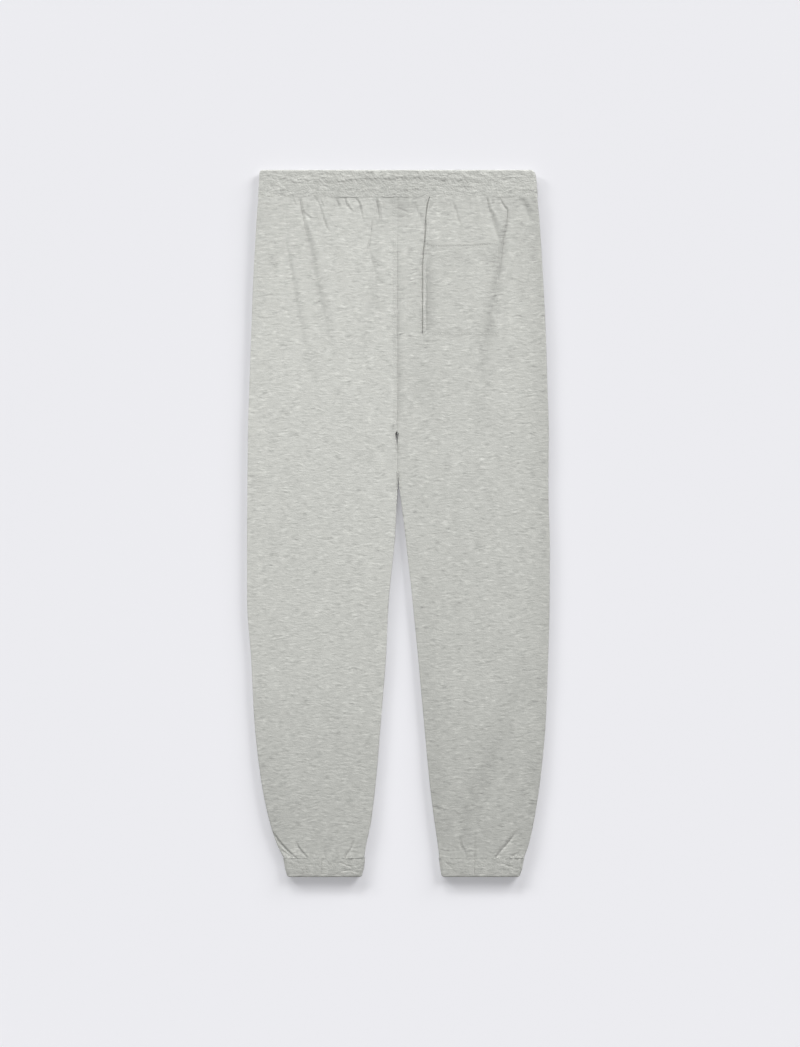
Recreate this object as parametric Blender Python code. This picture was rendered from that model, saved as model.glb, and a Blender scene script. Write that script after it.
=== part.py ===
"""Jogger sweatpants laid flat on a table with the back uppermost.

Sizes are in millimetres and become metres when a mesh is made.  X runs across the
garment, +Y points to the waist and Z up from the table.  A height down the garment is
given as its drop: the distance below the top edge of the waistband.
"""
import bisect
import math

import bmesh
import bpy
from mathutils import Vector

MM = 0.001

# Overall sizes
LENGTH = 1020.0         # top of the waistband to the end of the cuffs
WAIST_DROP = 39.0       # depth of the waistband, down to its seam with the panels
HEM_DROP = 992.4        # seam between the leg panels and the cuffs
CLOTH = 2.0             # loopback fleece, one layer
SEAM = 0.3              # clear space left at every seam
CENTRE_SEAM = -1.2      # the middle seams sit this far off the middle line

# How the laid cloth stands above the table
SIDE_ROLL = 5.0         # how far in from the edge a side turns over
SEAM_HEIGHT = 3.8       # height of the side seams and inseams
LIE_HEIGHT = 5.4        # top of the back panel where the layers lie together
LOWEST_TOP = 4.5        # the back panel never sinks below this
EDGE_LIFT = 1.9         # extra height of the rolled edge over the lying cloth
EDGE_REACH = 24.0       # width of the band that this lift fades over
WAIST_LIFT = 3.9        # extra height at the gathered waist seam
WAIST_REACH = 62.0
HEM_LIFT = 2.3          # extra height at the gathered cuff seam
HEM_REACH = 34.0

# Gathers sewn into the seams
WAIST_GATHERS = 12      # waves across one back panel at the waistband seam
WAIST_GATHER_DEEP = 0.8
WAIST_GATHER_LONG = 24.0
HEM_GATHERS = 10        # waves across one back panel at the cuff seam
HEM_GATHER_DEEP = 0.8
HEM_GATHER_LONG = 13.0

# Where the crotch turns the middle seams into the two inseams
CROTCH_START = 376.0
CROTCH_END = 394.0

# The laid outline: outer edges of the two legs, and the middle and width of what
# parts the left half from the right half.
OUTLINE_COLUMNS = ("drop", "left", "right", "middle", "gap")
OUTLINE = (
    (39.0, -201.7, 200.0, -1.2, 0.3),
    (65.0, -204.1, 202.6, -1.2, 0.3),
    (101.0, -206.3, 205.4, -1.2, 0.3),
    (158.7, -209.5, 208.8, -1.2, 0.3),
    (230.8, -212.2, 212.4, -1.2, 0.3),
    (317.4, -215.2, 215.1, -1.2, 0.3),
    (376.0, -217.0, 216.9, -1.2, 0.3),
    (384.5, -217.1, 216.9, -2.4, 2.2),
    (394.0, -217.2, 216.8, -1.4, 0.5),
    (447.0, -217.7, 216.4, -0.7, 0.4),
    (468.0, -218.0, 216.5, -0.4, 0.8),
    (484.0, -218.1, 216.7, 1.0, 6.6),
    (505.0, -218.3, 217.5, 1.9, 10.8),
    (534.0, -218.4, 218.4, 2.7, 15.9),
    (620.0, -218.4, 218.1, 3.1, 34.0),
    (707.0, -212.4, 216.0, 5.2, 46.9),
    (793.0, -208.0, 212.7, 5.7, 61.6),
    (880.0, -198.2, 204.6, 6.1, 76.9),
    (938.0, -186.4, 195.6, 6.2, 90.8),
    (974.0, -174.6, 187.6, 5.1, 103.4),
    (993.0, -165.0, 180.6, 4.8, 108.8),
)

# Folds and creases of the upper panels.  Each runs from the top end to the low end,
# with its middle pushed sideways by the sway.  It is a trough of the given depth and
# half width, with a bank on the side that the sign of the bank gives.
FOLD_COLUMNS = ("x_top", "drop_top", "x_end", "drop_end", "sway", "deep", "wide", "bank")
FOLDS = {
    "back_left": (
        (-163.2, 60.0, -136.0, 250.0, -4.0, 0.8, 5.5, 0.8),
        (-141.4, 40.0, -116.0, 232.0, 2.5, 2.0, 8.0, 1.1),
        (-115.6, 40.0, -99.0, 108.0, 1.0, 1.5, 6.5, 0.8),
        (-91.0, 40.0, -84.0, 84.0, 0.5, 1.4, 6.0, 0.8),
        (-75.0, 40.0, -64.0, 76.0, 1.0, 1.4, 6.0, 0.6),
        (-60.2, 40.0, -46.0, 104.0, 1.0, 1.5, 6.0, 0.9),
        (-30.9, 40.0, -23.0, 128.0, 0.5, 2.4, 7.5, -1.2),
        (-41.0, 90.0, -38.0, 240.0, 2.0, 0.9, 9.0, -0.6),
        (-120.0, 560.0, -96.0, 800.0, 6.0, 0.5, 26.0, 0.6),
        (-181.0, 957.0, -147.0, 994.0, 1.0, 1.4, 6.5, 0.9),
        (-147.0, 966.0, -129.0, 994.0, 0.5, 1.2, 6.0, 0.7),
        (-63.0, 962.0, -78.0, 994.0, -0.5, 1.3, 6.5, -0.8),
    ),
    "back_right": (
        (45.3, 30.0, 34.8, 237.0, -3.2, 1.6, 3.6, 2.2),
        (79.8, 40.0, 92.0, 98.0, 0.5, 1.4, 6.5, 0.7),
        (100.4, 40.0, 104.0, 76.0, 0.5, 1.3, 6.0, 0.6),
        (126.8, 40.0, 147.0, 112.0, 1.0, 1.8, 7.0, 0.9),
        (154.0, 40.0, 122.0, 322.0, 6.5, 1.9, 8.0, -1.0),
        (170.4, 40.0, 180.0, 80.0, 0.5, 1.6, 6.0, 0.8),
        (176.0, 640.0, 100.0, 960.0, 6.0, 0.9, 17.0, -0.8),
        (191.0, 800.0, 176.0, 968.0, 2.0, 0.7, 10.0, -0.6),
        (171.5, 953.0, 143.0, 994.0, -0.5, 1.4, 6.5, -0.9),
        (90.3, 956.0, 97.0, 994.0, 0.5, 1.3, 6.0, 0.8),
        (129.0, 964.0, 122.0, 994.0, 0.0, 1.1, 6.5, 0.6),
    ),
}

# Rows of the panels, and the columns of each panel as shares of its width from the
# middle to the outer edge, between the turned-over strips.
PANEL_DROPS = (
    39.15, 46.0, 55.0, 66.0, 82.0, 104.6, 130.0, 160.0, 197.0, 239.0, 290.0, 340.0,
    376.0, 384.5, 394.0, 440.0, 468.0, 484.0, 505.0, 545.0, 620.0, 700.0, 780.0,
    860.0, 915.0, 950.0, 970.0, 982.0, 992.25,
)
FRONT_DROPS = (
    39.15, 66.0, 130.0, 239.0, 340.0, 376.0, 384.5, 394.0, 447.0, 468.0, 484.0, 505.0,
    545.0, 620.0, 707.0, 793.0, 880.0, 938.0, 974.0, 992.25,
)
ROLL_STEPS = 3
LEFT_COLUMNS = 21
FRONT_COLUMNS = 8

# Patch pocket on the right half of the back
POCKET_LEFT = 0.180     # share of the panel's width at its edge beside the crease
POCKET_RIGHT = 0.706
POCKET_TOP = 104.6
POCKET_BOTTOM = 239.0
POCKET_COLUMNS = 11

# Waistband: folded cloth over elastic.  Each row is a line round the band, with the
# height of its upper and lower face and the depth of the gathers there.
BAND_COLUMNS = ("drop", "upper", "lower", "gather", "left", "right")
WAISTBAND = (
    (38.85, 9.6, 0.0, 0.7, -201.7, 200.0),
    (31.4, 9.0, 0.0, 0.8, -201.2, 199.6),
    (22.0, 11.0, 0.0, 0.9, -200.6, 198.9),
    (13.0, 8.4, 0.0, 1.0, -200.1, 198.2),
    (6.5, 10.2, 0.0, 1.2, -199.9, 197.8),
    (1.2, 9.2, 0.5, 0.9, -199.6, 196.6),
    (0.0, 7.0, 2.4, 0.4, -198.6, 195.4),
)
WAISTBAND_GATHERS = 56
WAISTBAND_WALL = 4.0
BAND_GAP = 0.7          # between the two inner faces of a flattened band

# Cuffs: the same make, one to a leg
CUFF_LEFT = (
    (992.55, 7.8, 0.0, 0.8, -165.2, -49.6),
    (996.5, 8.8, 0.0, 1.0, -164.4, -49.8),
    (1003.0, 9.6, 0.0, 1.2, -163.4, -50.2),
    (1012.0, 9.4, 0.0, 1.2, -162.2, -51.4),
    (1018.2, 8.2, 0.5, 0.9, -160.8, -53.0),
    (1020.0, 6.4, 2.2, 0.4, -159.0, -54.6),
)
CUFF_RIGHT = (
    (992.55, 7.8, 0.0, 0.8, 59.3, 180.6),
    (996.5, 8.8, 0.0, 1.0, 59.8, 179.9),
    (1003.0, 9.6, 0.0, 1.2, 60.6, 178.8),
    (1012.0, 9.4, 0.0, 1.2, 61.6, 177.2),
    (1018.2, 8.2, 0.5, 0.9, 62.6, 175.4),
    (1020.0, 6.4, 2.2, 0.4, 63.8, 173.8),
)
CUFF_GATHERS = 13
CUFF_WALL = 3.3

CLOTH_COLOUR = (0.56, 0.57, 0.53, 1.0)
CLOTH_SHADES = {
    "front_left": 0.97,
    "front_right": 0.97,
    "back_left": 1.0,
    "back_right": 1.0,
    "back_pocket": 1.02,
    "waistband": 0.99,
    "cuff_left": 0.98,
    "cuff_right": 0.98,
}


def clear_scene():
    """Remove whatever the file starts with."""
    for thing in list(bpy.data.objects):
        bpy.data.objects.remove(thing, do_unlink=True)


def read_table(rows, names, key, value):
    """Value of column key at a drop, on a curve that never overshoots its rows."""
    column = names.index(key)
    xs = [row[0] for row in rows]
    ys = [row[column] for row in rows]
    if value <= xs[0]:
        return ys[0]
    if value >= xs[-1]:
        return ys[-1]
    i = bisect.bisect_right(xs, value) - 1
    step = [(ys[k + 1] - ys[k]) / (xs[k + 1] - xs[k]) for k in range(len(xs) - 1)]

    def slope(k):
        if k == 0:
            return step[0]
        if k == len(xs) - 1:
            return step[-1]
        before = step[k - 1]
        after = step[k]
        if before * after <= 0.0:
            return 0.0
        return 2.0 * before * after / (before + after)

    span = xs[i + 1] - xs[i]
    t = (value - xs[i]) / span
    h00 = (1.0 + 2.0 * t) * (1.0 - t) ** 2
    h10 = t * (1.0 - t) ** 2
    h01 = t * t * (3.0 - 2.0 * t)
    h11 = t * t * (t - 1.0)
    return h00 * ys[i] + h10 * span * slope(i) + h01 * ys[i + 1] + h11 * span * slope(i + 1)


def outline(key, drop):
    """One edge of the laid outline at a drop."""
    return read_table(OUTLINE, OUTLINE_COLUMNS, key, drop)


def ease(low, high, value):
    """Smooth step from 0 at low to 1 at high."""
    t = min(1.0, max(0.0, (value - low) / (high - low)))
    return t * t * (3.0 - 2.0 * t)


def panel_edges(half, drop):
    """Middle edge and outer edge of the panels of one half."""
    middle = outline("middle", drop)
    gap = outline("gap", drop)
    if half == "left":
        return middle - 0.5 * gap, outline("left", drop)
    return middle + 0.5 * gap, outline("right", drop)


def fold_relief(name, x, drop):
    """Height that the panel's folds add at a point."""
    total = 0.0
    for row in FOLDS[name]:
        fold = dict(zip(FOLD_COLUMNS, row))
        long = fold["drop_end"] - fold["drop_top"]
        t = (drop - fold["drop_top"]) / long
        if t < -0.15 or t > 1.0:
            continue
        inside = min(1.0, max(0.0, t))
        path = fold["x_top"] + (fold["x_end"] - fold["x_top"]) * inside
        path += fold["sway"] * 4.0 * inside * (1.0 - inside)
        lean = long / math.hypot(long, fold["x_end"] - fold["x_top"])
        aside = (x - path) * lean
        held_low = fold["drop_end"] > HEM_DROP
        held_high = fold["drop_top"] < WAIST_DROP + 2.0
        fade = 1.0 if held_high else ease(-0.15, 0.25, t)
        if not held_low:
            fade *= 1.0 - ease(0.45, 1.0, t)
        wide = fold["wide"]
        trough = fold["deep"] * math.exp(-((aside / wide) ** 2))
        toward = math.copysign(1.55 * wide, fold["bank"])
        bank = abs(fold["bank"]) * math.exp(-(((aside - toward) / wide) ** 2))
        total += fade * (bank - trough)
    return total


def lying_height(name, x, drop, share):
    """Top of a back panel at a point, before its edges turn over."""
    height = LIE_HEIGHT
    height += WAIST_LIFT * math.exp(-(drop - WAIST_DROP) / WAIST_REACH)
    height += HEM_LIFT * math.exp(-(((HEM_DROP - drop) / HEM_REACH) ** 2))
    height += 0.35 * math.sin(x / 41.0 + drop / 150.0) * math.sin(drop / 97.0)
    if name in FOLDS:
        height += fold_relief(name, x, drop)
        waist = math.exp(-(drop - WAIST_DROP) / WAIST_GATHER_LONG)
        height += WAIST_GATHER_DEEP * waist * math.cos(2.0 * math.pi * WAIST_GATHERS * share)
        hem = math.exp(-(HEM_DROP - drop) / HEM_GATHER_LONG)
        height += HEM_GATHER_DEEP * hem * math.cos(2.0 * math.pi * HEM_GATHERS * share)
    return max(height, LOWEST_TOP)


def crotch_turn(drop):
    """0 where the middle edge is sewn to the other half, 1 where it turns over."""
    return ease(CROTCH_START, CROTCH_END, drop)


def column_shares(inner_columns):
    """Places across a panel: (which strip, share or angle)."""
    places = []
    for k in range(ROLL_STEPS):
        places.append(("middle", 0.5 * math.pi * k / ROLL_STEPS))
    for share in inner_columns:
        places.append(("body", share))
    for k in range(ROLL_STEPS - 1, -1, -1):
        places.append(("outer", 0.5 * math.pi * k / ROLL_STEPS))
    return places


def panel_point(name, half, layer, place, drop):
    """Outside point of a panel and the direction in which its wall is measured."""
    middle, outer = panel_edges(half, drop)
    side = -1.0 if half == "left" else 1.0
    width = abs(outer - middle)
    strip, value = place
    turn = 1.0
    if strip == "body":
        reach = SIDE_ROLL + (width - 2.0 * SIDE_ROLL) * value
        angle = 0.5 * math.pi
    elif strip == "middle":
        reach = SIDE_ROLL * (1.0 - math.cos(value))
        angle = value
        turn = crotch_turn(drop)
    else:
        reach = width - SIDE_ROLL * (1.0 - math.cos(value))
        angle = value
    x = middle + side * reach
    share = reach / width
    if layer == "front":
        low = SEAM_HEIGHT - SEAM
        z = low * (1.0 - math.sin(angle)) * turn
        down = -1.0
    else:
        top = lying_height(name, x, drop, share)
        from_outer = width - reach
        lift = math.exp(-((from_outer / EDGE_REACH) ** 2))
        lift += crotch_turn(drop) * math.exp(-((reach / EDGE_REACH) ** 2))
        top += EDGE_LIFT * min(1.0, lift)
        seam_dip = (1.0 - crotch_turn(drop)) * 1.2 * math.exp(-((reach / 4.0) ** 2))
        top = max(top - seam_dip, LOWEST_TOP)
        z = top - (top - SEAM_HEIGHT) * (1.0 - math.sin(angle)) * turn
        down = 1.0
    rim = None
    if strip == "middle" and value == 0.0:
        rim = Vector((-side * turn, 0.0, down * (1.0 - turn))).normalized()
    if strip == "outer" and value == 0.0:
        rim = Vector((side, 0.0, 0.0))
    return Vector((x, LENGTH / 2.0 - drop, z)), rim


def wall_directions(points, rims, facing):
    """Directions from the inside of the wall to its outside, at each grid point."""
    rows = len(points)
    columns = len(points[0])
    result = []
    for i in range(rows):
        line = []
        for j in range(columns):
            along = points[min(i + 1, rows - 1)][j] - points[max(i - 1, 0)][j]
            across = points[i][min(j + 1, columns - 1)] - points[i][max(j - 1, 0)]
            normal = along.cross(across).normalized()
            if normal.z * facing < 0.0:
                normal.negate()
            if rims[i][j] is not None:
                normal = rims[i][j].copy()
            if i == 0 or i == rows - 1:
                normal.y = 0.0
                normal.normalize()
            line.append(normal)
        result.append(line)
    return result


def add_object(name, bm):
    """Turn a bmesh in millimetres into a named object with its own material."""
    bmesh.ops.scale(bm, vec=Vector((MM, MM, MM)), verts=bm.verts)
    bmesh.ops.recalc_face_normals(bm, faces=bm.faces)
    mesh = bpy.data.meshes.new(name)
    bm.to_mesh(mesh)
    bm.free()
    mesh.shade_smooth()
    obj = bpy.data.objects.new(name, mesh)
    bpy.context.scene.collection.objects.link(obj)
    material = bpy.data.materials.new(name + "_fleece")
    material.use_nodes = True
    shader = material.node_tree.nodes["Principled BSDF"]
    shade = CLOTH_SHADES[name]
    colour = [shade * CLOTH_COLOUR[k] for k in range(3)]
    shader.inputs["Base Color"].default_value = (*colour, 1.0)
    shader.inputs["Roughness"].default_value = 0.95
    shader.inputs["Metallic"].default_value = 0.0
    mesh.materials.append(material)
    return obj


def wall_between(name, outside, inside):
    """Closed wall between two grids of the same size."""
    bm = bmesh.new()
    rows = len(outside)
    columns = len(outside[0])
    grids = []
    for grid in (outside, inside):
        grids.append([[bm.verts.new(p) for p in line] for line in grid])
    out, inn = grids
    for i in range(rows - 1):
        for j in range(columns - 1):
            bm.faces.new((out[i][j], out[i][j + 1], out[i + 1][j + 1], out[i + 1][j]))
            bm.faces.new((inn[i][j], inn[i + 1][j], inn[i + 1][j + 1], inn[i][j + 1]))
    border = [(0, j) for j in range(columns)]
    border += [(i, columns - 1) for i in range(1, rows)]
    border += [(rows - 1, j) for j in range(columns - 2, -1, -1)]
    border += [(i, 0) for i in range(rows - 2, 0, -1)]
    for k, (i, j) in enumerate(border):
        i2, j2 = border[(k + 1) % len(border)]
        bm.faces.new((out[i][j], inn[i][j], inn[i2][j2], out[i2][j2]))
    return add_object(name, bm)


def panel_grid(name, half, layer, inner_columns, drops):
    """Outside points of a panel and its wall directions."""
    places = column_shares(inner_columns)
    points = []
    rims = []
    for drop in drops:
        made = [panel_point(name, half, layer, place, drop) for place in places]
        points.append([point for point, _ in made])
        rims.append([rim for _, rim in made])
    facing = 1.0 if layer == "back" else -1.0
    return points, wall_directions(points, rims, facing)


def moved(points, directions, distance):
    """The grid moved along its directions."""
    result = []
    for line, ways in zip(points, directions):
        result.append([p + way * distance for p, way in zip(line, ways)])
    return result


def spread(low, high, count):
    """Even shares from low up to but without high."""
    return [low + (high - low) * k / count for k in range(count)]


def make_panel(name, half, layer, inner_columns, drops):
    """One leg panel, from the waistband seam to the cuff seam."""
    points, ways = panel_grid(name, half, layer, inner_columns, drops)
    wall_between(name, points, moved(points, ways, -CLOTH))
    return points, ways


def make_pocket(points, ways, first_column):
    """Patch pocket cut from the panel's own points and laid on them."""
    top = PANEL_DROPS.index(POCKET_TOP)
    bottom = PANEL_DROPS.index(POCKET_BOTTOM)
    lines = slice(first_column, first_column + POCKET_COLUMNS + 1)
    patch = [line[lines] for line in points[top:bottom + 1]]
    up = [line[lines] for line in ways[top:bottom + 1]]
    under = moved(patch, up, SEAM)
    over = moved(patch, up, SEAM + CLOTH)
    wall_between("back_pocket", over, under)


def band_ring(row, gathers, inside=False, wall=0.0):
    """One line round a flattened band: over the top, round a side and back below."""
    station = dict(zip(BAND_COLUMNS, row))
    left = station["left"] + wall
    right = station["right"] - wall
    upper = station["upper"]
    lower = station["lower"]
    y = LENGTH / 2.0 - station["drop"]
    roll = 0.5 if inside else SIDE_ROLL
    ring = []
    count = 3 * gathers
    for k in range(count + 1):
        x = left + roll + (right - left - 2.0 * roll) * k / count
        lean = 0.22 * (right - left) / count * math.sin(2.3 * k + 0.6 * station["drop"])
        wave = 0.0
        if not inside:
            size = 0.75 + 0.35 * math.sin(1.7 * k + 0.4) * math.sin(0.31 * k)
            crest = 1.0 if k % 3 == 1 else -0.45
            wave = station["gather"] * size * crest
            if 0 < k < count:
                x += lean
        ring.append(Vector((x, y, upper + wave)))
    middle = 0.5 * (upper + lower)
    for k in range(1, 4):
        angle = math.pi * (0.5 - k / 4.0)
        x = right - roll + roll * math.cos(angle)
        ring.append(Vector((x, y, middle + (upper - middle) * math.sin(angle))))
    below = gathers
    for k in range(below + 1):
        x = right - roll - (right - left - 2.0 * roll) * k / below
        ring.append(Vector((x, y, lower)))
    for k in range(1, 4):
        angle = math.pi * (0.5 - k / 4.0)
        x = left + roll - roll * math.cos(angle)
        ring.append(Vector((x, y, middle - (upper - middle) * math.sin(angle))))
    return ring


def make_band(name, table, gathers, wall):
    """A flattened tube of folded cloth with gathers over its upper face."""
    seam_row = table[0]
    end_row = table[-1]
    rings = [band_ring(row, gathers) for row in table]
    low = wall
    high = wall + BAND_GAP
    end_lift = 1.6 if end_row[0] < LENGTH / 2.0 else -1.6
    for row, shift in ((end_row, end_lift), (seam_row, 0.0)):
        inner = (row[0] + shift, high, low, 0.0, row[4], row[5])
        rings.append(band_ring(inner, gathers, inside=True, wall=wall))
    bm = bmesh.new()
    lines = [[bm.verts.new(p) for p in ring] for ring in rings]
    count = len(lines[0])
    for i in range(len(lines)):
        here = lines[i]
        after = lines[(i + 1) % len(lines)]
        for j in range(count):
            k = (j + 1) % count
            bm.faces.new((here[j], here[k], after[k], after[j]))
    return add_object(name, bm)


def main():
    clear_scene()
    even = [k / LEFT_COLUMNS for k in range(LEFT_COLUMNS + 1)]
    crease = [POCKET_LEFT - 0.012, POCKET_LEFT, POCKET_LEFT + 0.016, POCKET_LEFT + 0.034]
    right = spread(0.0, crease[0], 4) + crease
    pocket_start = ROLL_STEPS + right.index(POCKET_LEFT)
    right += spread(crease[-1], POCKET_RIGHT, POCKET_COLUMNS - 2)[1:]
    right += spread(POCKET_RIGHT, 1.0, 5) + [1.0]
    plain = [k / FRONT_COLUMNS for k in range(FRONT_COLUMNS + 1)]

    make_panel("front_left", "left", "front", plain, FRONT_DROPS)
    make_panel("front_right", "right", "front", plain, FRONT_DROPS)
    make_panel("back_left", "left", "back", even, PANEL_DROPS)
    points, ways = make_panel("back_right", "right", "back", right, PANEL_DROPS)
    make_pocket(points, ways, pocket_start)
    make_band("waistband", WAISTBAND, WAISTBAND_GATHERS, WAISTBAND_WALL)
    make_band("cuff_left", CUFF_LEFT, CUFF_GATHERS, CUFF_WALL)
    make_band("cuff_right", CUFF_RIGHT, CUFF_GATHERS, CUFF_WALL)


main()
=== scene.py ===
import math
from functools import partial

import bmesh
import bpy
import numpy as np
from mathutils import Matrix, Vector


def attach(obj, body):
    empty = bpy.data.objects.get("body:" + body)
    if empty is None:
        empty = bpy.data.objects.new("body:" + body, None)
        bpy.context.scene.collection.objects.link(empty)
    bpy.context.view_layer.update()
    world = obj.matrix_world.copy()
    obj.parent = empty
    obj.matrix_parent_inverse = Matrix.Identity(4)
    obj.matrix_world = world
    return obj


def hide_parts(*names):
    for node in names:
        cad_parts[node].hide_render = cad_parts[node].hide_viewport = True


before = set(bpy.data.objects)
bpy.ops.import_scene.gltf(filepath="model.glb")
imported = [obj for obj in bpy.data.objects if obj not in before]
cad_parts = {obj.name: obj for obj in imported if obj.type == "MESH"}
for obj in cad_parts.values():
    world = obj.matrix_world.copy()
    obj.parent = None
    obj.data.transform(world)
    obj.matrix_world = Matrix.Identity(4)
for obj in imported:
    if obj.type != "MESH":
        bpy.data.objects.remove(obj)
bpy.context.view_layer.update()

scene = bpy.context.scene
scene.view_settings.view_transform = "Standard"
scene.view_settings.look = "None"

# ------------------------------
# The table and the light.  The trousers lie on a plain pale table top.  Four large
# white soft boxes light them: low ones beyond the waist and on both sides, and a gridded
# one high overhead.  The camera looks straight down.
VIEW_HEIGHT = 1.5105  # metres of table from the top of the view to its foot
VIEW_AT = (0.0023, 0.0)
CAMERA_UP = 3.2
CLOTH_TOP = 0.007  # the height at which the view's scale holds
TABLE_SIZE = 8.0
TABLE_UNDER = 0.0003  # how far the table top lies under the cloth
TABLE_COLOUR = (0.6669, 0.6669, 0.6928)
# The table's white is deeper near the lights, so it looks even: the share of each term,
# and the powers of the distance across and upward in metres, up to the trend's end.
TABLE_TREND = (
    (0.0138, 1, 0), (-0.2736, 0, 1), (0.0848, 2, 0), (-0.0144, 1, 1),
    (0.1404, 0, 2), (-0.0263, 0, 3), (-0.0568, 2, 1), (-0.0204, 1, 2),
)
TREND_END = 0.9
ROOM_LIGHT = 0.215


def set_inputs(tree, node, inputs):
    """Set a node's inputs, each to a value or joined to a socket."""
    for key, value in inputs.items():
        if isinstance(value, bpy.types.NodeSocket):
            tree.links.new(value, node.inputs[key])
        else:
            node.inputs[key].default_value = value


def add_node(tree, kind, inputs={}, **settings):
    """A new shader node with its settings and inputs."""
    node = tree.nodes.new("ShaderNode" + kind)
    for key, value in settings.items():
        setattr(node, key, value)
    set_inputs(tree, node, inputs)
    return node


def math_node(tree, operation, *values):
    """What a Math node makes of numbers or sockets."""
    return add_node(tree, "Math", dict(enumerate(values)), operation=operation).outputs["Value"]


def new_finish(name):
    """A new material, with its node tree and its standard shader."""
    finish = bpy.data.materials.new(name)
    finish.use_nodes = True
    return finish, finish.node_tree, finish.node_tree.nodes["Principled BSDF"]


def as_object(name, bm, finish):
    """A bmesh as a named object of one material."""
    mesh = bpy.data.meshes.new(name)
    bm.to_mesh(mesh)
    bm.free()
    mesh.materials.append(finish)
    made = bpy.data.objects.new(name, mesh)
    scene.collection.objects.link(made)
    return made


camera_data = bpy.data.cameras.new("straight_above")
camera_data.sensor_fit = "VERTICAL"
camera_data.sensor_height = 24.0
camera_data.lens = camera_data.sensor_height * (CAMERA_UP - CLOTH_TOP) / VIEW_HEIGHT
camera_data.clip_end = 50.0
camera = bpy.data.objects.new("straight_above", camera_data)
camera.location = (*VIEW_AT, CAMERA_UP)
scene.collection.objects.link(camera)
scene.camera = camera

world = bpy.data.worlds.new("white_room")
world.use_nodes = True
set_inputs(world.node_tree, world.node_tree.nodes["Background"],
           {"Color": (1.0, 1.0, 1.0, 1.0), "Strength": ROOM_LIGHT})
scene.world = world

# name, where it stands and what it aims at in metres, its width and height, how wide its
# light spreads in degrees, its power in watts
SOFT_BOXES = (
    ("box_beyond_waist", (-1.50, 5.50, 1.95), (0, 0, 0), 3.05, 0.80, 180, 212),
    ("box_left", (-3.30, 2.98, 1.46), (0, 0, 0), 1.00, 1.00, 180, 110),
    ("box_right", (3.03, 2.98, 1.65), (0, 0, 0), 2.17, 2.17, 180, 198),
    ("box_overhead", (-0.20, 0.00, 4.80), (-0.20, 0.25, 0), 1.00, 1.00, 60, 9.9),
)
for name, place, aim, wide, tall, spread, power in SOFT_BOXES:
    lamp_data = bpy.data.lights.new(name, "AREA")
    lamp_data.shape = "RECTANGLE"
    lamp_data.size = wide
    lamp_data.size_y = tall
    lamp_data.spread = math.radians(spread)
    lamp_data.energy = power
    lamp = bpy.data.objects.new(name, lamp_data)
    lamp.location = place
    lamp.rotation_euler = (Vector(place) - Vector(aim)).to_track_quat("Z", "Y").to_euler()
    scene.collection.objects.link(lamp)

table_finish, table_tree, table_shader = new_finish("table_top_matt_white")
table_place = add_node(table_tree, "TexCoord").outputs["Object"]
table_split = add_node(table_tree, "SeparateXYZ", {"Vector": table_place}).outputs
across, upward = (
    math_node(table_tree, "MINIMUM",
              math_node(table_tree, "MAXIMUM", table_split[axis], -TREND_END), TREND_END)
    for axis in "XY")
table_tone = 1.0
for share, by_across, by_upward in TABLE_TREND:
    product, *factors = [across] * by_across + [upward] * by_upward
    for factor in factors:
        product = math_node(table_tree, "MULTIPLY", product, factor)
    table_tone = math_node(table_tree, "MULTIPLY_ADD", product, share, table_tone)
table_white = add_node(table_tree, "VectorMath", {0: TABLE_COLOUR, "Scale": table_tone},
                       operation="SCALE").outputs["Vector"]
set_inputs(table_tree, table_shader, {
    "Base Color": table_white, "Roughness": 0.9, "Specular IOR Level": 0.0})

table_bm = bmesh.new()
bmesh.ops.create_grid(table_bm, x_segments=2, y_segments=2, size=TABLE_SIZE / 2)
bmesh.ops.translate(table_bm, verts=table_bm.verts, vec=(0.0, 0.0, -TABLE_UNDER))
table = as_object("table_top", table_bm, table_finish)

# ------------------------------
# The front panels.  Two leg panels of loopback fleece, joined at the front middle
# seam; they lie face down on the table, flat and plain, with their side edges turned
# up to the side seams and inseams.  Sizes from here on are in millimetres.
MM = 0.001
LENGTH = 1020.0
WAIST_DROP = 39.0  # drops are measured from the top edge of the waistband
HEM_DROP = 992.4
CLOTH = 1.8  # one layer of the fleece
SEAM = 0.3  # what parts the front from the back at their seams
SHORT = 0.03  # how far a sheet stops short of its seam line
FRONT_ROLL = 7.0
SEAM_UNDER = 1.0  # how far the side seams lie in from the folded edges
SEAM_HEIGHT = 3.8
KEPT_APART = 0.02  # between rows of points along an edge that isn't turned
SIDE = {"left": -1.0, "right": 1.0}
FLEECE_COLOUR = (0.4610, 0.4650, 0.4392)

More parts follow.
